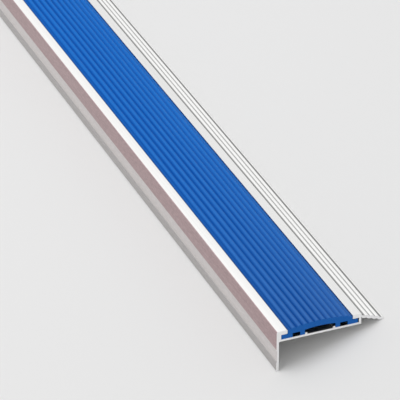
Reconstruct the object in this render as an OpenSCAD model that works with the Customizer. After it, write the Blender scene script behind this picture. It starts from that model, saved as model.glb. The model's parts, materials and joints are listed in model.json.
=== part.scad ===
// Two-part stair nosing: an extruded aluminium profile with a ribbed soft PVC tread insert.
// The section is drawn as it is fitted: x runs from the face of the leg back to the tip of the ramp, and
// y is up from the underside of the channel. The bar is then laid on a level floor, as loose stock lies.

/* [Bar] */
// Length that the bar is cut to
bar_length = 1000; // [300:10:3000]
// Depth from the face of the leg to the tip of the ramp
overall_depth = 76; // [70:0.5:95]

/* [Leg] */
// Drop of the leg below the channel
leg_drop = 22.2; // [18:0.1:45]
// Thickness of the leg
leg_t = 1.7; // [1.3:0.1:2.8]
// Bevel on the bottom edges of the leg
leg_bevel = 0.45; // [0.2:0.05:0.6]
// Depth of the band sunk into the face of the leg
band_depth = 0.5; // [0.2:0.05:0.7]
// Height of that band
band_height = 9.3; // [5:0.1:11]
// Plain face left below the band
band_from_end = 6.5; // [4:0.1:7]
// Run of the bevel at each side of the band
band_bevel = 0.45; // [0.2:0.05:0.8]

/* [Channel] */
// Thickness of the floor of the channel
floor_t = 1.5; // [1.2:0.1:2.2]
// Height of the lips above the underside
lip_top = 7.8; // [7.4:0.1:10]
// Thickness of the lips
lip_t = 2.8; // [2:0.1:3]
// Thickness of the wall at the nose
front_wall = 3.2; // [2.4:0.1:4]
// Thickness of the wall at the ramp
rear_wall = 1.8; // [1.4:0.1:2.6]
// Width of the channel between its walls
channel_w = 55.2; // [50:0.1:58]
// Reach of each lip over the channel
lip_reach = 4.4; // [3:0.1:5]
// Radius of the nose
nose_round = 1; // [0.6:0.1:2]
// Rounding of the other top edges of the lips
edge_round = 0.3; // [0.1:0.05:0.5]
// Width of the two keys on the floor that locate the insert
key_w = 1.5; // [1:0.1:2.5]
// Height of the keys above the floor
key_height = 1.3; // [0.8:0.1:2]

/* [Ramp] */
// Height of the grooves of the ramp where it leaves the channel
ramp_root = 6.4; // [5.5:0.1:7]
// Thickness of the flat that the waves stand on
ramp_t = 1.1; // [0.7:0.05:1.4]
// Distance from one wave to the next, along the slope
wave_pitch = 4; // [3.4:0.1:5]
// Radius of a wave
wave_r = 3.2; // [2.6:0.1:4]
// Height of a wave above the flat
wave_height = 0.8; // [0.6:0.05:1]
// Radius of the bead at the tip
tip_r = 0.9; // [0.8:0.05:1.2]
// Distance from the bead to the first wave, along the slope
first_wave = 3.8; // [3.4:0.1:5]

/* [Tread insert] */
// Height of the crown of the insert above the underside of the channel, without the ribs
crown_top = 9.5; // [9:0.1:11]
// Radius of the crown
crown_r = 112; // [90:1:300]
// Number of ribs
rib_count = 10; // [4:1:10]
// Distance from one rib to the next
rib_pitch = 4.2; // [3.6:0.1:4.2]
// Width of a rib where it meets the crown
rib_w = 3.1; // [2:0.1:3.3]
// Height of a rib
rib_height = 0.8; // [0.4:0.05:1]
// Width of the two feet on the floor
foot_w = 3.3; // [2:0.1:4]
// Width of the hollow between the feet
middle_hollow_w = 21.7; // [16:0.1:23]
// Height of that hollow at the feet
middle_hollow_h = 3.5; // [2.4:0.1:3.8]
// Rise of its arched roof
middle_hollow_rise = 0.8; // [0.4:0.1:1.4]
// Width of the hollow outside each foot
side_hollow_w = 5.4; // [4:0.1:6]
// Height of the hollow outside each foot
side_hollow_h = 3; // [2:0.1:3.6]

/* [Clearances] */
// Gap between the insert and the nose wall
front_gap = 0.2; // [0.1:0.05:0.6]
// Gap between the insert and the ramp wall
rear_gap = 0.9; // [0.1:0.05:1.2]
// Gap between the insert and the underside of the lips
lip_gap = 0.2; // [0.1:0.05:0.4]
// Gap between the insert and the edges of the lips
mouth_gap = 0.15; // [0.1:0.05:0.4]
// Gap between a foot of the insert and its key
key_gap = 0.15; // [0.1:0.05:0.4]

/* [Hidden] */
$fn = 180;
// How far shapes that are joined or cut run into each other
bite = 0.5;

// Channel
channel_end = front_wall + channel_w;
channel_back = channel_end + rear_wall;
channel_mid = front_wall + channel_w / 2;
slot_height = lip_top - lip_t - floor_t;
mouth_from = front_wall + lip_reach;
mouth_to = channel_end - lip_reach;
key_outer = middle_hollow_w / 2 - key_gap;

// Ramp: its flat runs from the root height at the channel down to the middle of the bead
bead = [overall_depth - tip_r, tip_r];
ramp_run = bead.x - channel_back;
ramp_rise = ramp_root - bead.y;
ramp_angle = atan2(ramp_rise, ramp_run) - asin(ramp_t / 2 / norm([ramp_run, ramp_rise]));
ramp_length = ramp_run / cos(ramp_angle);
wave_count = floor((ramp_length - first_wave - wave_pitch / 2) / wave_pitch) + 1;

// Insert
crown_centre = [channel_mid, crown_top - crown_r];
rib_angle = rib_pitch / crown_r * 180 / PI;
rib_r = arc_radius(rib_w, rib_height);
roof_r = arc_radius(middle_hollow_w, middle_hollow_rise);
side_hollow_from = middle_hollow_w / 2 + foot_w;

// Lying loose, the bar rests on the back edge of the leg's foot and on the bead
leg_foot = [leg_t - leg_bevel, -leg_drop];
foot_to_bead = bead - leg_foot;
rest_tilt = atan2(foot_to_bead.y, foot_to_bead.x) - asin(tip_r / norm(foot_to_bead));
rest_height = leg_foot.x * sin(rest_tilt) - leg_foot.y * cos(rest_tilt);
rest_from = (leg_bevel - leg_drop) * sin(rest_tilt);
rest_to = bead.x * cos(rest_tilt) + bead.y * sin(rest_tilt) + tip_r;

// Radius of the arc with this chord and this rise
function arc_radius(chord, rise) = (chord * chord / 4 + rise * rise) / (2 * rise);

// One wave of the ramp: the cap of a circle, with its foot sunk into the flat
module wave() {
    intersection() {
        translate([0, wave_height - wave_r]) circle(wave_r);
        translate([-wave_pitch, -ramp_t / 2]) square([2 * wave_pitch, ramp_t / 2 + wave_height]);
    }
}

// Cutter that leaves a round corner at the top left of a block
module left_corner_cutter(size) {
    difference() {
        translate([-bite, -size]) square([size + bite, size + bite]);
        translate([size, -size]) circle(size);
    }
}

// The same for the top right of a block
module right_corner_cutter(size) {
    rotate(-90) left_corner_cutter(size);
}

module leg_section() {
    band_to = -leg_drop + band_from_end + band_height;
    band_from = -leg_drop + band_from_end;
    difference() {
        polygon([
            [0, floor_t],
            [0, -leg_drop + leg_bevel],
            [leg_bevel, -leg_drop],
            leg_foot,
            [leg_t, -leg_drop + leg_bevel],
            [leg_t, floor_t]
        ]);
        polygon([
            [-bite, band_from],
            [0, band_from],
            [band_depth, band_from + band_bevel],
            [band_depth, band_to - band_bevel],
            [0, band_to],
            [-bite, band_to]
        ]);
    }
}

module channel_section() {
    difference() {
        square([channel_back, lip_top]);
        translate([front_wall, floor_t]) square([channel_w, slot_height]);
        translate([mouth_from, floor_t]) square([mouth_to - mouth_from, lip_top]);
        translate([0, lip_top]) left_corner_cutter(nose_round);
        translate([mouth_from, lip_top]) right_corner_cutter(edge_round);
        translate([mouth_to, lip_top]) left_corner_cutter(edge_round);
        translate([channel_back, lip_top]) right_corner_cutter(edge_round);
    }
    for (key_from = [channel_mid - key_outer, channel_mid + key_outer - key_w])
        translate([key_from, floor_t - bite]) square([key_w, key_height + bite]);
}

// The flat of the ramp, with waves on top and others between them underneath
module ramp_section() {
    translate(bead) {
        circle(tip_r);
        rotate(-ramp_angle) {
            translate([-ramp_length - rear_wall / 2, -ramp_t / 2])
                square([ramp_length + rear_wall / 2, ramp_t]);
            for (i = [0 : wave_count - 1])
                translate([-first_wave - i * wave_pitch, ramp_t / 2]) wave();
            for (i = [0 : wave_count])
                translate([-first_wave - (i - 0.5) * wave_pitch, -ramp_t / 2]) rotate(180) wave();
        }
    }
}

module profile_section() {
    leg_section();
    channel_section();
    ramp_section();
}

// Crowned body of the insert, with the ribs along its top
module crown_section() {
    intersection() {
        translate([mouth_from + mouth_gap, floor_t])
            square([mouth_to - mouth_from - 2 * mouth_gap, crown_top]);
        translate(crown_centre) circle(crown_r, $fn = 720);
    }
    translate(crown_centre)
        for (i = [0 : rib_count - 1])
            rotate(-(i - (rib_count - 1) / 2) * rib_angle)
                translate([0, crown_r + rib_height - rib_r]) circle(rib_r);
}

module hollows() {
    intersection() {
        translate([-middle_hollow_w / 2, floor_t - bite])
            square([middle_hollow_w, bite + middle_hollow_h + 2 * middle_hollow_rise]);
        translate([0, floor_t + middle_hollow_h + middle_hollow_rise - roof_r]) circle(roof_r);
    }
    for (hollow_from = [-side_hollow_from - side_hollow_w, side_hollow_from])
        translate([hollow_from, floor_t - bite])
            square([side_hollow_w, side_hollow_h + bite]);
}

module insert_section() {
    difference() {
        union() {
            translate([front_wall + front_gap, floor_t])
                square([channel_w - front_gap - rear_gap, slot_height - lip_gap]);
            crown_section();
        }
        translate([channel_mid, 0]) hollows();
    }
}

// Runs a section along the bar and lays it on the floor, centred on the origin
module laid_bar() {
    translate([-(rest_from + rest_to) / 2, bar_length / 2, rest_height])
        rotate([0, rest_tilt, 0])
            rotate([90, 0, 0]) linear_extrude(bar_length) children();
}

module nosing_profile() {
    color("gainsboro") laid_bar() profile_section();
}

module tread_insert() {
    color("royalblue") laid_bar() insert_section();
}

nosing_profile();
tread_insert();
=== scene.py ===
"""Looks of a stair nosing: a satin aluminium extrusion that holds a ribbed blue PVC tread insert.

The section is drawn as it is fitted: x runs from the face of the leg back to the tip of the ramp, z is up
from the underside of the channel, and y runs along the bar from its near end. The bar itself lies loose on
the floor, so the finished meshes are turned into the frame's own axes by its two bedding faces.
"""

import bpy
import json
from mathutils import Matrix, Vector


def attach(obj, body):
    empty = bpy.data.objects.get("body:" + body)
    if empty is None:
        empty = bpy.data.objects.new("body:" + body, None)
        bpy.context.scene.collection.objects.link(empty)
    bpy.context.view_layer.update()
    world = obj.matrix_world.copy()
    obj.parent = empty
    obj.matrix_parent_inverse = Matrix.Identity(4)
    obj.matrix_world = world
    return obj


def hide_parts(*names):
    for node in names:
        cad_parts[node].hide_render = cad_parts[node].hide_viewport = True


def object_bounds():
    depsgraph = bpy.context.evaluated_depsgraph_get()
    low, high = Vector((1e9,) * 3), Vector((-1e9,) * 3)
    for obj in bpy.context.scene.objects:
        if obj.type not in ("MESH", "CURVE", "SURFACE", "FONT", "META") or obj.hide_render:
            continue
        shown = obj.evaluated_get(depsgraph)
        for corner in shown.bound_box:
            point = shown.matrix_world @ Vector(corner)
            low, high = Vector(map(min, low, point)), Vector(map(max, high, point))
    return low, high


bl_info = {
    "name": "Stair nosing",
    "version": (1, 0, 0),
    "blender": (4, 5, 0),
    "location": "View3D > Sidebar > Nosing",
    "description": "Builds an aluminium stair nosing with a ribbed tread insert, and a studio for it",
    "category": "Object",
}

import json
import math

import bpy
from mathutils import Matrix, Vector

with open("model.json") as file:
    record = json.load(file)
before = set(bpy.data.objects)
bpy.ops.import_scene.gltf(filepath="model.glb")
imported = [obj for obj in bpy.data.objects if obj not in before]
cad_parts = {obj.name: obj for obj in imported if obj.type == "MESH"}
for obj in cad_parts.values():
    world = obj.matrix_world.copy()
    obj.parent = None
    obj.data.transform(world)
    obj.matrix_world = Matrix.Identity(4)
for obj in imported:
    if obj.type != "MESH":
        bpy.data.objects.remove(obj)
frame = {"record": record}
CAD_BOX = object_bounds()

MM = 0.001
FULL_TURN = 2 * math.pi
BAR_LENGTH = CAD_BOX[1].y - CAD_BOX[0].y
BAR_ROWS = 26
SHARP_ABOVE = math.radians(38)
MOUNTS = {mount["name"]: mount for mount in frame["record"]["mounts"]}


def millimetres(label, meaning, size):
    """A length that the panel shows, given here in millimetres."""
    return bpy.props.FloatProperty(
        name=label, description=meaning, default=size * MM, min=0, precision=5, unit="LENGTH")


def linear(shade):
    """The linear colour of an sRGB hex value such as f0f1f2."""
    parts = [int(shade[i:i + 2], 16) / 255 for i in (0, 2, 4)]
    return [c / 12.92 if c <= 0.04045 else ((c + 0.055) / 1.055) ** 2.4 for c in parts]


def colour(label, meaning, shade):
    """A colour that the panel shows, given here as an sRGB hex value."""
    return bpy.props.FloatVectorProperty(
        name=label, description=meaning, default=linear(shade), size=3, min=0, max=1, subtype="COLOR")


class ProfileSizes(bpy.types.PropertyGroup):
    """The aluminium section."""

    leg_drop: millimetres("Leg drop", "Drop of the leg below the channel", 22.2)
    leg_t: millimetres("Leg thickness", "Thickness of the leg", 1.7)
    leg_round: millimetres("Leg rounding", "Rounding of the bottom edges of the leg", 0.6)
    band_depth: millimetres("Band depth", "Depth of the band sunk into the leg", 0.5)
    band_height: millimetres("Band height", "Height of that band", 9.3)
    band_from_end: millimetres("Band to leg end", "Plain face left below the band", 6.5)
    band_bevel: millimetres("Band bevel", "Run of the bevel at each side of the band", 0.45)
    floor_t: millimetres("Floor", "Thickness of the floor of the channel", 1.5)
    lip_top: millimetres("Lip height", "Height of the lips above the underside", 7.8)
    lip_t: millimetres("Lip thickness", "Thickness of the lips", 2.8)
    front_wall: millimetres("Front wall", "Thickness of the wall at the nose", 3.2)
    rear_wall: millimetres("Rear wall", "Thickness of the wall at the ramp", 1.8)
    channel_w: millimetres("Channel width", "Width of the channel between its walls", 55.2)
    lip_reach: millimetres("Lip reach", "Reach of each lip over the channel", 4.4)
    nose_round: millimetres("Nose", "Radius of the nose", 1.0)
    edge_round: millimetres("Edges", "Rounding that the die leaves on an edge", 0.3)
    key_outer: millimetres("Key position", "Outer face of each floor key from the middle", 10.7)
    key_w: millimetres("Key width", "Width of the floor keys", 1.5)
    key_height: millimetres("Key height", "Height of the floor keys", 1.3)
    overall_depth: millimetres("Depth", "Depth from the leg's face to the ramp's tip", 76)
    ramp_root: millimetres("Ramp root", "Height of the ramp's grooves at the channel", 6.4)
    ramp_t: millimetres("Ramp thickness", "Thickness of the flat under the waves", 1.1)
    wave_pitch: millimetres("Wave pitch", "Distance from one wave to the next", 4)
    wave_height: millimetres("Wave height", "Height of a wave above the flat", 0.8)
    groove_height: millimetres("Groove height", "Height of the grooves above the flat", 0.1)
    tip_r: millimetres("Tip radius", "Radius of the bead at the tip", 0.9)
    first_wave: millimetres("First wave", "Distance from the bead to the first wave", 3.8)


class InsertSizes(bpy.types.PropertyGroup):
    """The PVC section."""

    crown_top: millimetres("Crown", "Height of the crown above the underside, without ribs", 9.5)
    crown_r: millimetres("Crown radius", "Radius of the crown", 112)
    rib_count: bpy.props.IntProperty(name="Ribs", description="Number of ribs", default=10, min=1)
    rib_pitch: millimetres("Rib pitch", "Distance from one rib to the next", 4.2)
    rib_height: millimetres("Rib height", "Height of a rib", 0.8)
    rib_softness: bpy.props.FloatProperty(
        name="Rib softness", description="How round the grooves between the ribs are", default=0.35, min=0)
    foot_w: millimetres("Foot width", "Width of the two feet", 3.3)
    middle_hollow_w: millimetres("Middle hollow", "Width of the hollow between the feet", 21.7)
    middle_hollow_h: millimetres("Middle height", "Height of that hollow at the feet", 3.5)
    middle_hollow_rise: millimetres("Roof rise", "Rise of its arched roof", 0.8)
    side_hollow_w: millimetres("Side hollow", "Width of the hollow outside each foot", 5.4)
    side_hollow_h: millimetres("Side height", "Height of the hollow outside each foot", 3.0)
    front_gap: millimetres("Front gap", "Gap to the nose wall", 0.2)
    rear_gap: millimetres("Rear gap", "Gap to the ramp wall", 0.9)
    lip_gap: millimetres("Lip gap", "Gap to the underside of the lips", 0.2)
    mouth_gap: millimetres("Mouth gap", "Gap to the edges of the lips", 0.15)
    edge_round: millimetres("Edges", "Rounding of the moulded edges", 0.3)


class NosingColours(bpy.types.PropertyGroup):
    """The colours of the two pieces."""

    metal: colour("Metal", "Satin aluminium of the lips and ramp", "fafaf9")
    metal_streak: colour("Metal streaks", "Faint lines that the die leaves along the bar", "f3f3f2")
    # Painted reflections on the leg's face: warm above the sunk band, pale grey in it, grey below it
    leg_upper_reflection: colour("Leg above the band", "Warm sheen on the upper part of the leg", "aa8f91")
    leg_band_reflection: colour("Band", "Sunk band of the leg", "d3cecd")
    leg_lower_reflection: colour("Leg below the band", "Lower part of the leg", "aeabaa")
    # Painted shade: darkens the ramp's grooves and root, the band's ledge and the lips
    groove_shade: colour("Grooves", "Dull metal in the grooves of the ramp", "2c2c2d")
    sawn: colour("Sawn metal", "Bare metal of the cut ends", "f8f8f8")
    # Painted light and shade on the insert: the ridges lighter, the grooves darker
    vinyl: colour("PVC ridges", "Blue of the insert where shoes rub it", "1f75d0")
    vinyl_groove_shade: colour("PVC grooves", "Deeper blue between the ridges", "0052ad")
    # Painted sheen and shade: a grey veil over the blue, strongest at the near end
    vinyl_veil: colour("PVC dust", "Dust that dulls the ridges near the cut end", "606060")
    # Painted shade in the hollows and along the lips
    vinyl_hollow_shade: colour("PVC hollows", "Dusty dark blue inside the hollows", "0b1a30")


class StudioSizes(bpy.types.PropertyGroup):
    """The camera, as it stands to a fitted nosing, and the floor and the light."""

    lens: bpy.props.FloatProperty(
        name="Lens", description="Focal length on a 36 mm sensor", default=285.2, min=1, unit="CAMERA")
    heading: bpy.props.FloatProperty(
        name="Heading", description="Turn of the view from the bar's own line", default=math.radians(22.27),
        subtype="ANGLE")
    pitch: bpy.props.FloatProperty(
        name="Pitch", description="How far the view looks down on the bar", default=math.radians(30.37),
        subtype="ANGLE")
    distance: millimetres("Distance", "From the camera to the point that it looks at", 2204.3)
    aim_back: millimetres("Aim, back", "The point looked at: distance behind the leg's face", 23.25)
    aim_along: millimetres("Aim, along", "The point looked at: distance from the near end", 187.4)
    floor: colour("Floor", "Matt pale paint of the floor", "e9e9e9")
    sky: bpy.props.FloatProperty(
        name="Sky", description="Strength of the even light from all sides", default=0.68, min=0)
    lamp_power: bpy.props.FloatProperty(
        name="Lamp power", description="Power of the soft lamp", default=18.5, min=0, unit="POWER")
    lamp_side: millimetres("Lamp side", "Side of the square lamp", 1600)
    lamp_place: bpy.props.FloatVectorProperty(
        name="Lamp place", description="Where the lamp hangs, turned to the middle of the bar",
        default=(-0.45, 0.1, 2.2), size=3, subtype="TRANSLATION", unit="LENGTH")


# Frame of a fitted nosing


def fitted_axes(leg_t):
    """The turn and the origin of the drawing's axes in the frame, by the two bedding faces."""
    up = -Vector(MOUNTS["tread_bed"]["axis"])
    back = Vector(MOUNTS["riser_bed"]["axis"])
    along = up.cross(back)
    corner = up * up.dot(MOUNTS["tread_bed"]["pos_m"]) + back * back.dot(MOUNTS["riser_bed"]["pos_m"])
    origin = corner - back * leg_t + along * CAD_BOX[0].y
    return Matrix((back, along, up)).transposed().to_4x4(), origin


def to_frame(leg_t):
    """The matrix from the drawing's axes to the frame's."""
    turn, origin = fitted_axes(leg_t)
    return Matrix.Translation(origin) @ turn


# Section outlines


def rounded(corners):
    """Points along a path of (x, z, radius), with an arc at each inner corner that has a radius."""
    arc_step = math.radians(9)
    straight = 0.02
    points = [Vector(corners[0][:2])]
    for before, here, after in zip(corners, corners[1:], corners[2:]):
        corner = Vector(here[:2])
        radius = here[2]
        into = (corner - Vector(before[:2])).normalized()
        out = (Vector(after[:2]) - corner).normalized()
        turn = math.atan2(into.x * out.y - into.y * out.x, into.dot(out))
        if radius == 0 or abs(turn) < straight:
            points.append(corner)
            continue
        side = 1 if turn > 0 else -1
        start = corner - into * radius * math.tan(abs(turn) / 2)
        centre = start + Vector((-into.y, into.x)) * radius * side
        count = max(2, math.ceil(abs(turn) / arc_step))
        arm = start - centre
        for i in range(count + 1):
            angle = turn * i / count
            points.append(centre + Vector((arm.x * math.cos(angle) - arm.y * math.sin(angle),
                                           arm.x * math.sin(angle) + arm.y * math.cos(angle))))
    points.append(Vector(corners[-1][:2]))
    return points


def rounder_of(first, second, blend):
    """The larger of two heights, with the crease between them rounded."""
    return (first + second + math.sqrt((first - second) ** 2 + blend ** 2)) / 2


def ramp_edges(s, channel_back):
    """The ramp's top down to its tip, the tip, the underside back up, and the shade painted on the top."""
    softness = 0.16
    crease = 0.08 * MM
    spacing = 0.18 * MM
    tip_steps = 18
    bead = Vector((s.overall_depth - s.tip_r, s.tip_r))
    run = bead.x - channel_back
    rise = s.ramp_root - bead.y
    angle = math.atan2(rise, run) - math.asin(s.ramp_t / 2 / math.hypot(run, rise))
    length = run / math.cos(angle)
    waves = math.floor((length - s.first_wave - s.wave_pitch / 2) / s.wave_pitch) + 1
    down = Vector((math.cos(angle), -math.sin(angle)))
    normal = Vector((math.sin(angle), math.cos(angle)))

    def height(back, first, count):
        """Height of the waves over the ramp's middle, at a distance back from the bead's centre."""
        turns = (back - first) / s.wave_pitch
        swing = math.cos(math.pi * turns)
        rounded_swing = math.hypot(swing, softness) - softness
        shape = rounded_swing / (math.hypot(1, softness) - softness)
        wave = s.groove_height + (s.wave_height - s.groove_height) * shape
        if not -0.5 <= turns <= count - 0.5:
            wave = 0
        bead_height = math.sqrt(max(s.tip_r ** 2 - back ** 2, 0))
        return rounder_of(s.ramp_t / 2 + wave, bead_height, crease)

    # Painted shade at the root, in a line behind each wave, and in a wider one with firm edges by the bead
    root_shade = 0.78
    root_w = 0.42
    line_shade = 0.72
    line_behind = 0.44
    root_line_w = 0.8
    bead_line_shade = 0.86
    bead_line_behind = 0.5
    bead_line_rate = 0.8
    bead_line_firmness = 0.2

    def painted_shade_at(back):
        """How much shade is painted there. Widths and places of the lines are in pitches of the waves."""
        turns = (back - s.first_wave) / s.wave_pitch
        if turns > waves - root_w:
            return root_shade
        if turns < 0:
            swing = math.cos(FULL_TURN * bead_line_rate * (turns + bead_line_behind))
            return bead_line_shade * max(0, swing) ** bead_line_firmness
        swing = math.cos(FULL_TURN * (turns + line_behind))
        return max(0, swing) * (root_shade if turns > waves - root_line_w else line_shade)

    bead_from = 0.45 * s.tip_r
    rows = math.ceil((length - bead_from) / spacing)
    places = [length - (length - bead_from) * i / rows for i in range(rows + 1)]
    top = [bead - down * b + normal * height(b, s.first_wave, waves) for b in places]
    under = [bead - down * b - normal * height(b, s.first_wave - s.wave_pitch / 2, waves + 1)
             for b in reversed(places)]
    begin = math.atan2(*reversed(top[-1] - bead))
    end = math.atan2(*reversed(under[0] - bead))
    if end > begin:
        end -= FULL_TURN
    reach = [(top[-1] - bead).length, (under[0] - bead).length]
    tip = []
    for i in range(1, tip_steps):
        share = i / tip_steps
        bearing = begin + (end - begin) * share
        # The round of the bead begins a quarter of the way from either edge
        from_top = max(0, 1 - 4 * share) ** 2
        to_under = max(0, 4 * share - 3) ** 2
        radius = s.tip_r + (reach[0] - s.tip_r) * from_top + (reach[1] - s.tip_r) * to_under
        tip.append(bead + Vector((math.cos(bearing), math.sin(bearing))) * radius)
    return top, tip, under, [painted_shade_at(b) for b in places]


def profile_outline(s):
    """The aluminium section as one closed run of points, and how much shade is painted at each."""
    channel_end = s.front_wall + s.channel_w
    channel_back = channel_end + s.rear_wall
    middle = s.front_wall + s.channel_w / 2
    mouth_from = s.front_wall + s.lip_reach
    mouth_to = channel_end - s.lip_reach
    lip_under = s.lip_top - s.lip_t
    key_top = s.floor_t + s.key_height
    band_from = s.band_from_end - s.leg_drop
    band_to = band_from + s.band_height
    edge = s.edge_round
    lip_edge_w = 0.55 * MM
    top, tip, under, top_painted_shade = ramp_edges(s, channel_back)
    keys = []
    for outer, inner in ((-s.key_outer, s.key_w - s.key_outer), (s.key_outer - s.key_w, s.key_outer)):
        keys += [(middle + outer, s.floor_t, edge), (middle + outer, key_top, edge),
                 (middle + inner, key_top, edge), (middle + inner, s.floor_t, edge)]
    body = rounded([
        (*under[-1], 0),
        (channel_back, 0, edge),
        (s.leg_t, 0, edge),
        (s.leg_t, -s.leg_drop, s.leg_round),
        (0, -s.leg_drop, s.leg_round),
        (0, band_from, edge),
        (s.band_depth, band_from + s.band_bevel, edge),
        (s.band_depth, band_to - s.band_bevel, edge),
        (0, band_to, edge),
        (0, s.lip_top, s.nose_round),
        (mouth_from - lip_edge_w, s.lip_top, 0),
        (mouth_from, s.lip_top, edge),
        (mouth_from, lip_under, edge),
        (s.front_wall, lip_under, edge),
        (s.front_wall, s.floor_t, edge),
        *keys,
        (channel_end, s.floor_t, edge),
        (channel_end, lip_under, edge),
        (mouth_to, lip_under, edge),
        (mouth_to, s.lip_top, edge),
        (channel_back, s.lip_top, edge),
        (*top[0], 0),
    ])
    # Painted shade on the band's ledge, on the lips and along the front lip's inner edge
    ledge_shade = 0.28
    ledge_reach = 1.2
    rear_lip_shade = 0.15
    front_lip_shade = 0.06
    lip_edge_shade = 0.5
    slack = 0.01 * MM

    def painted_shade_at(p):
        """How much shade is painted: a little on the band's ledge and the lips, most at the front lip's
        edge.
        """
        if p.x < ledge_reach * s.band_depth and band_from < p.y < band_from + ledge_reach * s.band_bevel:
            return ledge_shade
        if p.y <= s.lip_top - 2 * edge:
            return 0
        if p.x > mouth_to:
            return rear_lip_shade
        if mouth_from - edge - slack < p.x < middle:
            return lip_edge_shade
        if mouth_from - lip_edge_w - slack < p.x < middle:
            return front_lip_shade
        return 0

    painted_shade = [painted_shade_at(p) for p in body[:-1]] + top_painted_shade + [0] * (len(tip) + len(under) - 1)
    return body[:-1] + top + tip + under[:-1], {"painted_shade": painted_shade}


def insert_outline(s, p):
    """The insert's section, clockwise from the left end of its crown.

    Its points hold the run along the crown, the way that a rib stands up there, and how much painted shade
    there is.
    """
    channel_end = p.front_wall + p.channel_w
    middle = p.front_wall + p.channel_w / 2
    left = p.front_wall + p.lip_reach + s.mouth_gap
    right = channel_end - p.lip_reach - s.mouth_gap
    flange_left = p.front_wall + s.front_gap
    flange_right = channel_end - s.rear_gap
    flange_top = p.lip_top - p.lip_t - s.lip_gap
    roof_from = p.floor_t + s.middle_hollow_h
    side_top = p.floor_t + s.side_hollow_h
    inner = s.middle_hollow_w / 2
    side_from = inner + s.foot_w
    side_to = side_from + s.side_hollow_w
    roof_r = (inner ** 2 + s.middle_hollow_rise ** 2) / (2 * s.middle_hollow_rise)
    edge = s.edge_round
    centre = Vector((middle, s.crown_top - s.crown_r))
    spacing = 0.14 * MM

    half = math.asin((right - middle) / s.crown_r)
    rows = math.ceil(2 * half * s.crown_r / spacing)
    bearings = [half * (2 * i / rows - 1) for i in range(rows + 1)]
    crown = [centre + s.crown_r * Vector((math.sin(b), math.cos(b))) for b in bearings]

    roof_rows = 40
    reach = math.asin(inner / roof_r)
    roof = []
    for i in range(roof_rows + 1):
        bearing = reach * (1 - 2 * i / roof_rows)
        roof.append((middle + roof_r * math.sin(bearing),
                     roof_from + s.middle_hollow_rise - roof_r * (1 - math.cos(bearing)), 0))
    roof[0] = (*roof[0][:2], edge)
    roof[-1] = (*roof[-1][:2], edge)

    def side_hollow(near, far):
        return [(middle + near, p.floor_t, edge), (middle + near, side_top, edge),
                (middle + far, side_top, edge), (middle + far, p.floor_t, edge)]

    rest = rounded([
        (*crown[-2], 0),
        (*crown[-1], edge),
        (right, flange_top, edge),
        (flange_right, flange_top, edge),
        (flange_right, p.floor_t, edge),
        *side_hollow(side_to, side_from),
        (middle + inner, p.floor_t, edge),
        *roof,
        (middle - inner, p.floor_t, edge),
        *side_hollow(-side_from, -side_to),
        (flange_left, p.floor_t, edge),
        (flange_left, flange_top, edge),
        (left, flange_top, edge),
        (*crown[0], edge),
        (*crown[1], 0),
    ])
    trim = math.ceil(edge / spacing) + 1
    kept = range(trim, rows + 1 - trim)
    points = [crown[i] for i in kept] + rest[1:-1]
    runs = [bearings[i] * s.crown_r for i in kept] + [0] * (len(rest) - 2)
    outs = [Vector((math.sin(bearings[i]), math.cos(bearings[i]))) for i in kept]
    outs += [Vector((0, 0))] * (len(rest) - 2)

    # Painted shade fills the hollows, and some of it lies along the lips
    slack = 0.1 * MM
    lip_gap_shade = 0.3
    lip_gap_shade_w = 1.4 * MM
    recess_shade = [lip_gap_shade * max(0, 1 - (half - abs(bearings[i])) * s.crown_r / lip_gap_shade_w) for i in kept]
    for point in rest[1:-1]:
        away = abs(point.x - middle)
        in_side_hollow = away < side_to + slack and point.y < side_top + slack
        in_middle_hollow = away < inner + slack and point.y < roof_from + s.middle_hollow_rise + slack
        by_lip = point.y > flange_top + slack
        recess_shade.append(1 if in_side_hollow or in_middle_hollow else lip_gap_shade if by_lip else 0)
    return points, {"rib_run": runs, "rib_out": outs, "recess_shade": recess_shade}


# Nodes and meshes


def add(tree, kind, inputs=None, **settings):
    """Adds a node with its own settings, and gives inputs a value, an output or a node's first output.

    An input goes by its place or by its name, of those that the settings leave in use.
    """
    node = tree.nodes.new(kind)
    for name, value in settings.items():
        setattr(node, name, value)
    for key, value in (inputs or {}).items():
        if isinstance(key, int):
            socket = node.inputs[key]
        else:
            socket = next(each for each in node.inputs if each.enabled and each.name == key)
        if isinstance(value, bpy.types.Node):
            value = next(each for each in value.outputs if each.enabled)
        if isinstance(value, bpy.types.NodeSocket):
            tree.links.new(value, socket)
        else:
            socket.default_value = value
    return node


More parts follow.
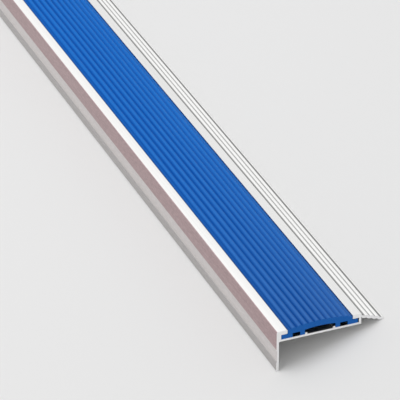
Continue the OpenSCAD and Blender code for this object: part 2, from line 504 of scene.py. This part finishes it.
def bar_tree():
    """Geometry Nodes: ribs along the crown of a section, and the section run along the bar.

    The section comes as a closed line in the xy plane. Its points hold rib_run, the distance along the crown
    from its middle, and rib_out, the way that a rib stands up there, which is zero away from the crown.
    """
    tree = bpy.data.node_groups.new("extruded_bar", "GeometryNodeTree")
    face = tree.interface
    face.new_socket("Section", in_out="INPUT", socket_type="NodeSocketGeometry")
    for name in ("Length", "Rib Pitch", "Rib Height", "Rib Softness", "Sharp Above"):
        face.new_socket(name, in_out="INPUT", socket_type="NodeSocketFloat")
    for name in ("Ribs", "Rows"):
        face.new_socket(name, in_out="INPUT", socket_type="NodeSocketInt")
    face.new_socket("Material", in_out="INPUT", socket_type="NodeSocketMaterial")
    face.new_socket("Bar", in_out="OUTPUT", socket_type="NodeSocketGeometry")
    given = add(tree, "NodeGroupInput").outputs
    math_node = "ShaderNodeMath"
    # In pitches from the middle of the crown: where the grooves begin to be painted lighter, and where most
    groove_light_from = -0.5
    groove_light_to = 4.2
    groove_light = 0.42
    margin_light = 0.35

    run = add(tree, "GeometryNodeInputNamedAttribute", {"Name": "rib_run"}, data_type="FLOAT")
    out = add(tree, "GeometryNodeInputNamedAttribute", {"Name": "rib_out"}, data_type="FLOAT_VECTOR")
    pitches = add(tree, math_node, {0: run, 1: given["Rib Pitch"]}, operation="DIVIDE")
    last = add(tree, math_node, {0: given["Ribs"], 1: 1.0}, operation="SUBTRACT")
    half_last = add(tree, math_node, {0: last, 1: 0.5}, operation="MULTIPLY")
    turns = add(tree, math_node, {0: pitches, 1: half_last}, operation="SUBTRACT")
    angle = add(tree, math_node, {0: turns, 1: math.pi}, operation="MULTIPLY")
    swing = add(tree, math_node, {0: angle}, operation="COSINE")
    swing_2 = add(tree, math_node, {0: swing, 1: swing}, operation="MULTIPLY")
    soft_2 = add(tree, math_node, {0: given["Rib Softness"], 1: 2.0}, operation="POWER")
    rounded_swing = add(tree, math_node, {
        0: add(tree, math_node, {0: swing_2, 1: soft_2}, operation="ADD"), 1: 0.5}, operation="POWER")
    rounded_peak = add(tree, math_node, {
        0: add(tree, math_node, {0: soft_2, 1: 1.0}, operation="ADD"), 1: 0.5}, operation="POWER")
    rise = add(tree, math_node, {0: rounded_swing, 1: given["Rib Softness"]}, operation="SUBTRACT")
    full = add(tree, math_node, {0: rounded_peak, 1: given["Rib Softness"]}, operation="SUBTRACT")
    shape = add(tree, math_node, {0: rise, 1: full}, operation="DIVIDE")
    away = add(tree, math_node, {0: pitches}, operation="ABSOLUTE")
    edge = add(tree, math_node, {0: given["Ribs"], 1: 0.5}, operation="MULTIPLY")
    ribbed = add(tree, math_node, {0: away, 1: edge}, operation="LESS_THAN")
    ridge = add(tree, math_node, {0: shape, 1: ribbed}, operation="MULTIPLY")
    height = add(tree, math_node, {0: ridge, 1: given["Rib Height"]}, operation="MULTIPLY")
    lift = add(tree, "ShaderNodeVectorMath", {0: out, "Scale": height}, operation="SCALE")
    # The ridges are painted lighter than the grooves, as painted light and shade. The grooves in the half
    # towards the ramp are painted lighter too, more and more, and so are the flat margins
    between = add(tree, "ShaderNodeMapRange", {
        "Value": pitches, "From Min": groove_light_from, "From Max": groove_light_to, "To Min": 0.0, "To Max": groove_light})
    valley = add(tree, math_node, {0: 1.0, 1: ridge}, operation="SUBTRACT")
    painted_light_and_shade = add(tree, math_node, {0: valley, 1: between, 2: ridge}, operation="MULTIPLY_ADD")
    margin = add(tree, math_node, {0: 1.0, 1: ribbed}, operation="SUBTRACT")
    ridge_light = add(tree, math_node, {0: margin, 1: margin_light, 2: painted_light_and_shade}, operation="MULTIPLY_ADD")
    told = add(tree, "GeometryNodeStoreNamedAttribute", {
        "Geometry": given["Section"], "Name": "ridge_light", "Value": ridge_light}, data_type="FLOAT", domain="POINT")
    ribs = add(tree, "GeometryNodeSetPosition", {"Geometry": told, "Offset": lift})

    section = add(tree, "GeometryNodeMeshToCurve", {"Mesh": ribs})
    end = add(tree, "ShaderNodeCombineXYZ", {"Z": given["Length"]})
    line = add(tree, "GeometryNodeCurvePrimitiveLine", {"End": end})
    path = add(tree, "GeometryNodeResampleCurve", {"Curve": line, "Count": given["Rows"]})
    bar = add(tree, "GeometryNodeCurveToMesh", {"Curve": path, "Profile Curve": section, "Fill Caps": True})
    smooth = add(tree, "GeometryNodeSetShadeSmooth", {"Geometry": bar}, domain="FACE")
    crease = add(tree, "FunctionNodeCompare", {
        "A": add(tree, "GeometryNodeInputMeshEdgeAngle"), "B": given["Sharp Above"]},
        data_type="FLOAT", operation="GREATER_THAN")
    sharp = add(tree, "GeometryNodeSetShadeSmooth", {
        "Geometry": smooth, "Selection": crease, "Shade Smooth": False}, domain="EDGE")
    real = add(tree, "GeometryNodeRealizeInstances", {"Geometry": sharp})
    coated = add(tree, "GeometryNodeSetMaterial", {"Geometry": real, "Material": given["Material"]})
    add(tree, "NodeGroupOutput", {"Bar": coated})
    return tree


def section_object(name, points, values):
    """A closed line of edges in the xy plane, with values on its points."""
    mesh = bpy.data.meshes.new(name)
    count = len(points)
    mesh.from_pydata([(p.x, p.y, 0) for p in points], [(i, (i + 1) % count) for i in range(count)], [])
    for label, held in values.items():
        if isinstance(held[0], Vector):
            flat = [part for way in held for part in (way.x, way.y, 0)]
            mesh.attributes.new(label, "FLOAT_VECTOR", "POINT").data.foreach_set("vector", flat)
        else:
            mesh.attributes.new(label, "FLOAT", "POINT").data.foreach_set("value", held)
    piece = bpy.data.objects.new(name, mesh)
    bpy.context.scene.collection.objects.link(piece)
    return piece


def unroll(mesh, count):
    """A map for baked textures: the walls, with the outline running up it, and the two cut ends above."""
    margin = 0.004
    walls_top = 0.86
    ends_from = 0.875
    end_w = 0.48
    places = [v.co for v in mesh.vertices]
    length = places[-1].z - places[0].z
    low = Vector((min(p.x for p in places), min(p.y for p in places)))
    size = Vector((max(p.x for p in places), max(p.y for p in places))) - low
    scale = min((end_w - margin) / size.x, (1 - margin - ends_from) / size.y)
    runs = [0]
    for i in range(count):
        runs.append(runs[-1] + (places[(i + 1) % count] - places[i]).length)
    texels = mesh.uv_layers.new(name="OFBake").data
    for face in mesh.polygons:
        corners = [mesh.loops[i].vertex_index for i in face.loop_indices]
        if len(corners) > 4:
            shift = margin if face.center.z < length / 2 else margin + end_w
            spots = [(shift + (places[c].x - low.x) * scale, ends_from + (places[c].y - low.y) * scale)
                     for c in corners]
        else:
            steps = [c % count for c in corners]
            closes = max(steps) - min(steps) > 1
            spots = [(margin + (1 - 2 * margin) * places[c].z / length,
                      margin + (walls_top - margin) * runs[count if closes and k == 0 else k] / runs[-1])
                     for c, k in zip(corners, steps)]
        for i, spot in zip(face.loop_indices, spots):
            texels[i].uv = spot


def extrude(piece, values, placement):
    """Runs a section along the bar with the node tree, and leaves the result as the piece's plain mesh."""
    tree = bpy.data.node_groups.get("extruded_bar") or bar_tree()
    modifier = piece.modifiers.new("bar", "NODES")
    modifier.node_group = tree
    for socket in tree.interface.items_tree:
        if socket.in_out == "INPUT" and socket.name in values:
            modifier[socket.identifier] = values[socket.name]
    graph = bpy.context.evaluated_depsgraph_get()
    mesh = bpy.data.meshes.new_from_object(piece.evaluated_get(graph))
    piece.modifiers.remove(modifier)
    unroll(mesh, len(piece.data.vertices))
    piece.data = mesh
    # The tree runs the section along z, and the drawing has the bar along y with z up. The sections go round
    # clockwise, so this swap of y and z is what turns the faces outwards.
    stand = Matrix(((1, 0, 0, 0), (0, 0, 1, 0), (0, 1, 0, 0), (0, 0, 0, 1)))
    mesh.transform(placement @ stand)


# Materials


def new_material(name):
    """A material with an empty node tree, and that tree."""
    material = bpy.data.materials.new(name)
    material.use_nodes = True
    material.node_tree.nodes.clear()
    return material, material.node_tree


def drawing_millimetres(tree, leg_t):
    """The place on the piece in the drawing's axes, in millimetres."""
    turn, origin = fitted_axes(leg_t)
    place = add(tree, "ShaderNodeTexCoord").outputs["Object"]
    fitted = add(tree, "ShaderNodeMapping", {
        "Vector": place, "Location": origin, "Rotation": turn.to_euler()}, vector_type="TEXTURE")
    return add(tree, "ShaderNodeVectorMath", {0: fitted, "Scale": 1 / MM}, operation="SCALE")


def near_an_end(tree, along):
    """One at either cut end, and zero between."""
    cut_depth = 0.03
    half_length = BAR_LENGTH / MM / 2
    from_middle = add(tree, "ShaderNodeMath", {0: along, 1: half_length}, operation="SUBTRACT")
    away = add(tree, "ShaderNodeMath", {0: from_middle}, operation="ABSOLUTE")
    return add(tree, "ShaderNodeMath", {0: away, 1: half_length - cut_depth}, operation="GREATER_THAN")


def aluminium(colours, s):
    """Extruded aluminium with a satin anodised skin: pale, with soft broad reflections and faint die lines.

    The face of the leg is painted darker than the lips, as a painted reflection in three bands that is warm
    above the sunk one, and has a satin grain. Painted shade darkens the ramp's grooves, the band's ledge and
    the lips.
    The cut ends are bare metal with saw marks. The patterns' sizes are in millimetres.
    """
    line_gap = 0.8
    line_run = 250
    leg_streaks = 0.1
    grain_w = 0.7
    grain_run = 3
    grain_shift = 0.64
    grain_swing = 0.17
    band_grain = 0.5
    band_edge_below = 0.1
    band_edge_above = 0.3
    band_blur = 0.5
    face_slack = 0.1
    face_blur = 0.25
    saw_gap = 0.6
    saw_run = 14
    saw_tilt = math.radians(32)
    mark_height = 0.02
    material, tree = new_material("satin_anodised_aluminium")
    place = drawing_millimetres(tree, s.leg_t)
    axes = add(tree, "ShaderNodeSeparateXYZ", {0: place}).outputs
    end = near_an_end(tree, axes["Y"])

    # Die lines that fade out along the bar. Real ones are finer than the render shows.
    stretched = add(tree, "ShaderNodeVectorMath", {
        0: place, 1: (1 / line_gap, 1 / line_run, 1 / line_gap)}, operation="MULTIPLY")
    lines = add(tree, "ShaderNodeTexNoise", {"Vector": stretched, "Scale": 1.0, "Detail": 3.0})
    faint = add(tree, "ShaderNodeMapRange", {"Value": lines, "From Min": 0.35, "From Max": 0.7})
    skin = add(tree, "ShaderNodeMix", {
        "Factor": faint, "A": (*colours.metal, 1), "B": (*colours.metal_streak, 1)}, data_type="RGBA")

    # Bands of the leg's face, by height: painted reflections, warm above the sunk band and grey in and below
    # it
    band_from = (s.band_from_end - s.leg_drop) / MM
    lower_edge = band_from - band_edge_below
    upper_edge = band_from + s.band_height / MM + band_edge_above
    low = add(tree, "ShaderNodeMapRange", {
        "Value": axes["Z"], "From Min": lower_edge, "From Max": lower_edge + band_blur})
    high = add(tree, "ShaderNodeMapRange", {
        "Value": axes["Z"], "From Min": upper_edge, "From Max": upper_edge + band_blur})
    lower = add(tree, "ShaderNodeMix", {
        "Factor": low, "A": (*colours.leg_lower_reflection, 1), "B": (*colours.leg_band_reflection, 1)}, data_type="RGBA")
    leg = add(tree, "ShaderNodeMix", {
        "Factor": high, "A": lower, "B": (*colours.leg_upper_reflection, 1)}, data_type="RGBA")
    streaks = add(tree, "ShaderNodeMath", {0: faint, 1: leg_streaks}, operation="MULTIPLY")
    streaked = add(tree, "ShaderNodeMix", {"Factor": streaks, "A": leg, "B": (1, 1, 1, 1)}, data_type="RGBA")

    # Satin grain of the leg, strongest above the band, and coarser than the real one so that it shows. Noise
    # is weakest in its own planes, so a shift keeps the faces of the leg between them.
    grain_place = add(tree, "ShaderNodeVectorMath", {
        0: place, 1: (1 / grain_w, 1 / grain_run, 1 / grain_w), 2: (grain_shift, 0, 0)},
        operation="MULTIPLY_ADD")
    grain = add(tree, "ShaderNodeTexNoise", {"Vector": grain_place, "Scale": 1.0, "Detail": 2.0})
    swing = add(tree, "ShaderNodeMapRange", {
        "Value": grain, "From Min": 0.25, "From Max": 0.75, "To Min": -grain_swing, "To Max": grain_swing})
    share = add(tree, "ShaderNodeMapRange", {"Value": high, "To Min": band_grain, "To Max": 1.0})
    speckle = add(tree, "ShaderNodeMath", {0: swing, 1: share, 2: 1.0}, operation="MULTIPLY_ADD")
    grained = add(tree, "ShaderNodeVectorMath", {0: streaked, "Scale": speckle}, operation="SCALE")

    # The face of the leg ends behind the band and at the top of the nose
    face_depth = s.band_depth / MM + face_slack
    nose_top = s.lip_top / MM
    on_face = add(tree, "ShaderNodeMapRange", {
        "Value": axes["X"], "From Min": face_depth, "From Max": face_depth + face_blur,
        "To Min": 1.0, "To Max": 0.0})
    below_nose = add(tree, "ShaderNodeMapRange", {
        "Value": axes["Z"], "From Min": nose_top - face_blur, "From Max": nose_top,
        "To Min": 1.0, "To Max": 0.0})
    leg_mask = add(tree, "ShaderNodeMath", {0: on_face, 1: below_nose}, operation="MULTIPLY")
    walls = add(tree, "ShaderNodeMix", {"Factor": leg_mask, "A": skin, "B": grained}, data_type="RGBA")
    # Painted shade on the ramp's grooves and root, the band's ledge and the lips, from a value on the
    # section's points
    painted_shade = add(tree, "ShaderNodeAttribute", attribute_name="painted_shade").outputs["Fac"]
    painted_light_and_shade = add(tree, "ShaderNodeMix", {
        "Factor": painted_shade, "A": walls, "B": (*colours.groove_shade, 1)}, data_type="RGBA")

    # Saw marks on the cut ends, coarser than the real ones so that they show
    tilted = add(tree, "ShaderNodeMapping", {
        "Vector": place, "Rotation": (0, saw_tilt, 0), "Scale": (1 / saw_gap, 0, 1 / saw_run)})
    saw = add(tree, "ShaderNodeTexNoise", {"Vector": tilted, "Scale": 1.0, "Detail": 2.0})
    shine = add(tree, "ShaderNodeMapRange", {"Value": saw, "To Min": 0.93, "To Max": 1.05})
    sawn = add(tree, "ShaderNodeVectorMath", {0: tuple(colours.sawn), "Scale": shine}, operation="SCALE")
    base = add(tree, "ShaderNodeMix", {"Factor": end, "A": painted_light_and_shade, "B": sawn}, data_type="RGBA")

    rough = add(tree, "ShaderNodeMapRange", {"Value": lines, "To Min": 0.3, "To Max": 0.42})
    marks = add(tree, "ShaderNodeMix", {"Factor": end, "A": lines, "B": saw})
    bump = add(tree, "ShaderNodeBump", {"Height": marks, "Strength": 0.35, "Distance": mark_height * MM})
    shader = add(tree, "ShaderNodeBsdfPrincipled", {
        "Base Color": base, "Metallic": 1.0, "Roughness": rough, "Normal": bump})
    add(tree, "ShaderNodeOutputMaterial", {"Surface": shader})
    return material


def vinyl(colours, leg_t):
    """Extruded soft PVC: one even blue through and through, a satin skin with a fine matt grain.

    The ridges are painted lighter than the grooves as painted light and shade, a painted grey veil of sheen
    and shade is strongest at the near end, and painted shade darkens the hollows and the insert along the
    lips. The patterns' sizes are in millimetres.
    """
    line_gap = 1.1
    line_run = 120
    grain_size = 0.35
    grain_share = 0.6
    light_change = 0.2
    sawn_light_share = 0.65
    veil_share = 0.29
    veil_run = 165
    sawn_veil = 0.15
    sawn_roughness = 0.65
    grain_height = 0.1
    material, tree = new_material("extruded_soft_pvc")
    place = drawing_millimetres(tree, leg_t)
    axes = add(tree, "ShaderNodeSeparateXYZ", {0: place}).outputs
    end = near_an_end(tree, axes["Y"])

    # Die lines, and a matt grain that is coarser than the real one so that it shows
    stretched = add(tree, "ShaderNodeVectorMath", {
        0: place, 1: (1 / line_gap, 1 / line_run, 1 / line_gap)}, operation="MULTIPLY")
    lines = add(tree, "ShaderNodeTexNoise", {"Vector": stretched, "Scale": 1.0, "Detail": 3.0})
    grain = add(tree, "ShaderNodeTexNoise", {"Vector": place, "Scale": 1 / grain_size, "Detail": 2.0})
    marks = add(tree, "ShaderNodeMix", {"Factor": grain_share, "A": lines, "B": grain})
    faint = add(tree, "ShaderNodeMapRange", {
        "Value": marks, "From Min": 0.35, "From Max": 0.65, "To Min": -light_change, "To Max": light_change})
    # Painted light and shade: the ridges lighter, the grooves darker, by a value that the tree stores on the
    # section
    ridge = add(tree, "ShaderNodeAttribute", attribute_name="ridge_light").outputs["Fac"]
    ridge_light = add(tree, "ShaderNodeMath", {0: ridge, 1: faint}, operation="ADD", use_clamp=True)
    pale = add(tree, "ShaderNodeMix", {"Factor": end, "A": ridge_light, "B": sawn_light_share})
    blue = add(tree, "ShaderNodeMix", {
        "Factor": pale, "A": (*colours.vinyl_groove_shade, 1), "B": (*colours.vinyl, 1)}, data_type="RGBA")

    # A painted grey veil of sheen and shade, strongest at the near end and fading along the bar, and weaker
    # on the cut
    thinned = add(tree, "ShaderNodeMath", {0: math.exp(-1 / veil_run), 1: axes["Y"]}, operation="POWER")
    veil_strength = add(tree, "ShaderNodeMath", {0: thinned, 1: veil_share}, operation="MULTIPLY")
    veil_mix = add(tree, "ShaderNodeMix", {"Factor": end, "A": veil_strength, "B": sawn_veil})
    veil = add(tree, "ShaderNodeVectorMath", {
        0: tuple(colours.vinyl_veil), "Scale": pale}, operation="SCALE")
    veiled = add(tree, "ShaderNodeMix", {"Factor": veil_mix, "A": blue, "B": veil}, data_type="RGBA")

    # Painted shade in the hollows and along the lips is on the skin only, so the cut shows none
    recess_shade = add(tree, "ShaderNodeAttribute", attribute_name="recess_shade").outputs["Fac"]
    on_skin = add(tree, "ShaderNodeMix", {"Factor": end, "A": recess_shade, "B": 0.0})
    base = add(tree, "ShaderNodeMix", {
        "Factor": on_skin, "A": veiled, "B": (*colours.vinyl_hollow_shade, 1)}, data_type="RGBA")

    rough = add(tree, "ShaderNodeMapRange", {"Value": grain, "To Min": 0.42, "To Max": 0.58})
    matt = add(tree, "ShaderNodeMix", {"Factor": end, "A": rough, "B": sawn_roughness})
    bump = add(tree, "ShaderNodeBump", {"Height": grain, "Strength": 0.5, "Distance": grain_height * MM})
    shader = add(tree, "ShaderNodeBsdfPrincipled", {
        "Base Color": base, "Roughness": matt, "Normal": bump, "IOR": 1.53, "Specular IOR Level": 0.025})
    add(tree, "ShaderNodeOutputMaterial", {"Surface": shader})
    return material


def pale_floor(paint):
    """Matt pale paint, on the upper side only, so that the bar also shows from below."""
    material, tree = new_material("pale_floor")
    painted = add(tree, "ShaderNodeBsdfPrincipled", {"Base Color": (*paint, 1), "Roughness": 0.9})
    below = add(tree, "ShaderNodeNewGeometry").outputs["Backfacing"]
    clear = add(tree, "ShaderNodeBsdfTransparent")
    shader = add(tree, "ShaderNodeMixShader", {0: below, 1: painted, 2: clear})
    add(tree, "ShaderNodeOutputMaterial", {"Surface": shader})
    return material


# Operators


class NOSING_OT_profile(bpy.types.Operator):
    """Builds the aluminium profile"""

    bl_idname = "nosing.profile"
    bl_label = "Aluminium profile"

    def execute(self, context):
        scene = context.scene
        sizes = scene.nosing_profile
        piece = section_object("aluminium_profile", *profile_outline(sizes))
        # This section has no ribs, so their height is zero
        extrude(piece, {
            "Length": BAR_LENGTH, "Rows": BAR_ROWS, "Ribs": 1, "Rib Pitch": 1.0, "Rib Height": 0.0,
            "Rib Softness": 1.0, "Sharp Above": SHARP_ABOVE,
            "Material": aluminium(scene.nosing_colours, sizes)}, to_frame(sizes.leg_t))
        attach(piece, "root")
        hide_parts("nosing_profile")
        return {"FINISHED"}


class NOSING_OT_insert(bpy.types.Operator):
    """Builds the ribbed tread insert"""

    bl_idname = "nosing.insert"
    bl_label = "Tread insert"

    def execute(self, context):
        scene = context.scene
        sizes = scene.nosing_insert
        profile = scene.nosing_profile
        piece = section_object("ribbed_insert", *insert_outline(sizes, profile))
        extrude(piece, {
            "Length": BAR_LENGTH, "Rows": BAR_ROWS, "Ribs": sizes.rib_count, "Rib Pitch": sizes.rib_pitch,
            "Rib Height": sizes.rib_height, "Rib Softness": sizes.rib_softness, "Sharp Above": SHARP_ABOVE,
            "Material": vinyl(scene.nosing_colours, profile.leg_t)}, to_frame(profile.leg_t))
        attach(piece, "root")
        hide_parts("tread_insert")
        return {"FINISHED"}


class NOSING_OT_studio(bpy.types.Operator):
    """Sets up the floor, the light and the camera"""

    bl_idname = "nosing.studio"
    bl_label = "Studio"

    def execute(self, context):
        scene = context.scene
        scene.view_settings.view_transform = "Standard"
        self.lay_floor(scene, scene.nosing_studio)
        self.light(scene, scene.nosing_studio)
        self.place_camera(scene, scene.nosing_studio)
        return {"FINISHED"}

    def lay_floor(self, scene, studio):
        half = 6.0
        mesh = bpy.data.meshes.new("floor")
        mesh.from_pydata([(-half, -half, 0), (half, -half, 0), (half, half, 0), (-half, half, 0)], [],
                         [(0, 1, 2, 3)])
        mesh.materials.append(pale_floor(studio.floor))
        floor = bpy.data.objects.new("floor", mesh)
        scene.collection.objects.link(floor)

    def light(self, scene, studio):
        world = bpy.data.worlds.new("studio")
        world.use_nodes = True
        tree = world.node_tree
        tree.nodes.clear()
        ray = add(tree, "ShaderNodeLightPath").outputs
        seen = add(tree, "ShaderNodeMath", {0: ray["Is Camera Ray"], 1: ray["Is Glossy Ray"]},
                   operation="MAXIMUM")
        seen = add(tree, "ShaderNodeMath", {0: seen, 1: ray["Is Transmission Ray"]}, operation="MAXIMUM")
        strength = add(tree, "ShaderNodeMapRange", {"Value": seen, "To Min": studio.sky, "To Max": 1.0})
        sky = add(tree, "ShaderNodeBackground", {"Color": (1, 1, 1, 1), "Strength": strength})
        add(tree, "ShaderNodeOutputWorld", {"Surface": sky})
        scene.world = world
        key = bpy.data.lights.new("key", "AREA")
        key.shape = "RECTANGLE"
        key.size = studio.lamp_side
        key.size_y = studio.lamp_side
        key.energy = studio.lamp_power
        lamp = bpy.data.objects.new("key", key)
        lamp.location = studio.lamp_place
        lamp.rotation_mode = "QUATERNION"
        lamp.rotation_quaternion = (-lamp.location).to_track_quat("-Z", "Y")
        scene.collection.objects.link(lamp)

    def place_camera(self, scene, studio):
        data = bpy.data.cameras.new("camera")
        data.sensor_width = 36
        data.lens = studio.lens
        data.clip_start = 0.05
        data.clip_end = 50
        level = math.cos(studio.pitch)
        view = Vector((level * math.sin(studio.heading), level * math.cos(studio.heading),
                       -math.sin(studio.pitch)))
        right = view.cross(Vector((0, 0, 1))).normalized()
        aim = Vector((studio.aim_back, studio.aim_along, 0))
        pose = Matrix((right, right.cross(view), -view)).transposed().to_4x4()
        pose.translation = aim - view * studio.distance
        camera = bpy.data.objects.new("camera", data)
        camera.matrix_world = to_frame(scene.nosing_profile.leg_t) @ pose
        scene.collection.objects.link(camera)
        scene.camera = camera


class NOSING_PT_panel(bpy.types.Panel):
    """Lists the pieces of the nosing"""

    bl_idname = "NOSING_PT_panel"
    bl_label = "Stair nosing"
    bl_space_type = "VIEW_3D"
    bl_region_type = "UI"
    bl_category = "Nosing"

    def draw(self, context):
        for operator in OPERATORS:
            self.layout.operator(operator.bl_idname)
        for name in GROUPS:
            group = getattr(context.scene, name)
            box = self.layout.box()
            for key in group.__annotations__:
                box.prop(group, key)


GROUPS = {
    "nosing_profile": ProfileSizes,
    "nosing_insert": InsertSizes,
    "nosing_colours": NosingColours,
    "nosing_studio": StudioSizes,
}
OPERATORS = (NOSING_OT_profile, NOSING_OT_insert, NOSING_OT_studio)


def register():
    for group in (*GROUPS.values(), *OPERATORS, NOSING_PT_panel):
        bpy.utils.register_class(group)
    for name, group in GROUPS.items():
        setattr(bpy.types.Scene, name, bpy.props.PointerProperty(type=group))


def unregister():
    for name in GROUPS:
        delattr(bpy.types.Scene, name)
    for group in reversed((*GROUPS.values(), *OPERATORS, NOSING_PT_panel)):
        bpy.utils.unregister_class(group)


def main():
    register()
    bpy.ops.nosing.profile()
    bpy.ops.nosing.insert()
    bpy.ops.nosing.studio()


if __name__ == "__main__":
    main()
